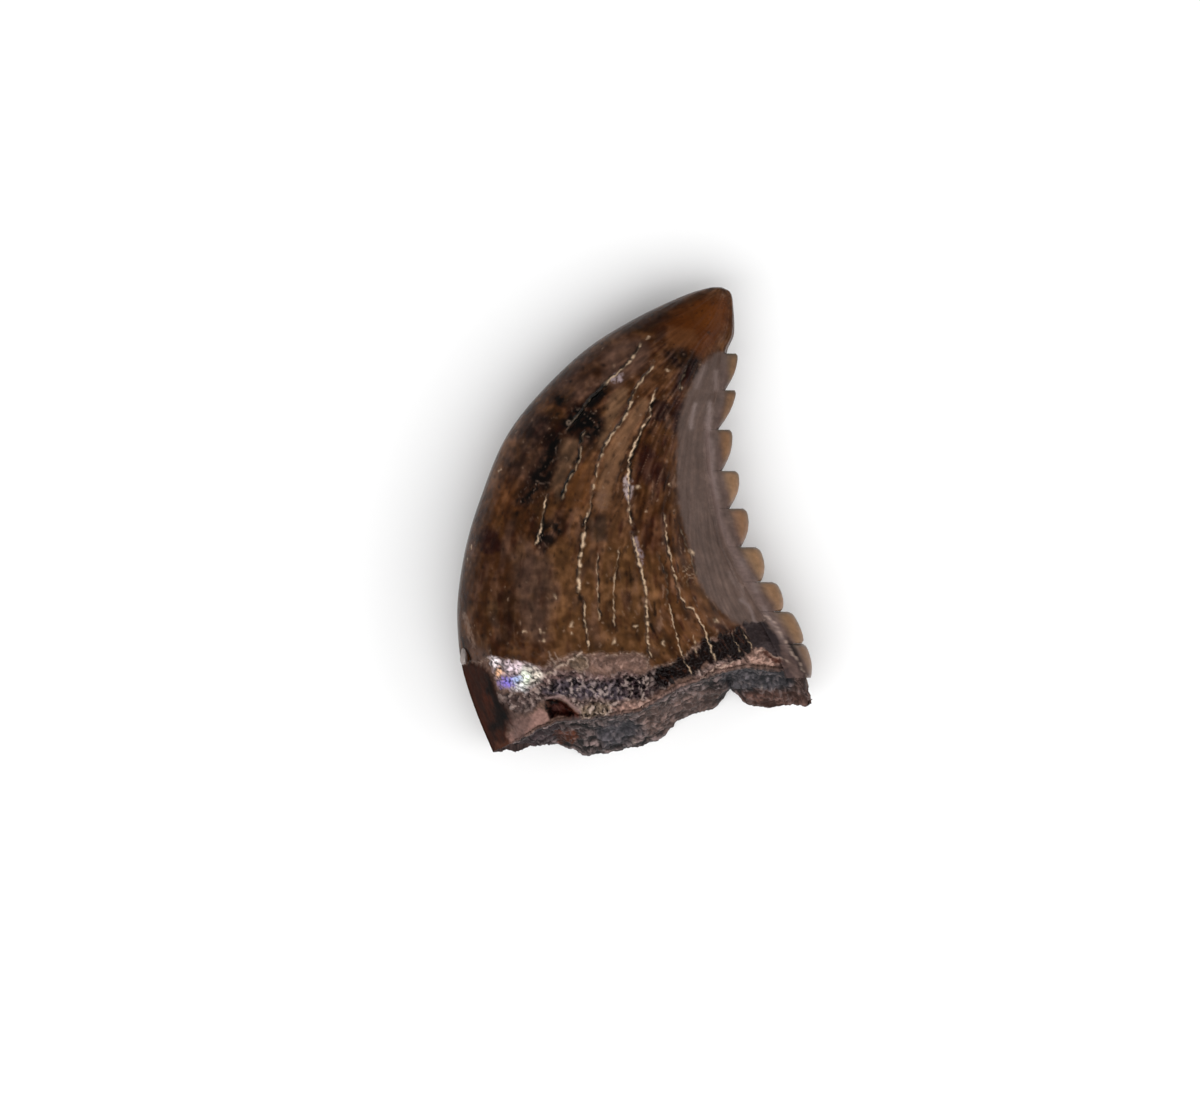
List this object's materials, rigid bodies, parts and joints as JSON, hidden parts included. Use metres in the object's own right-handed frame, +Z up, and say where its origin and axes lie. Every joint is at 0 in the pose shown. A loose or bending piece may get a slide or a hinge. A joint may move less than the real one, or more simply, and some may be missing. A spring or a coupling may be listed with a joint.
{
  "type": "pectinodon tooth",
  "caption": "Fossil crown of a small predator's tooth: curved and flattened, glossy, with large hooked denticles on its concave edge and a broken base.",
  "frame": {"origin": "centre of the footprint, on the surface that the tooth rests on", "axes": "+Y to the tip, +X to the toothed edge, +Z up out of the side that shows"},
  "size_m": [0.004, 0.0052, 0.0014],
  "materials": {
    "tooth": "glossy mottled brown enamel, amber denticles, rough blue-grey stone in the broken base"
  },
  "bodies": {
    "root": {"tooth": "tooth"}
  },
  "joints": []
}
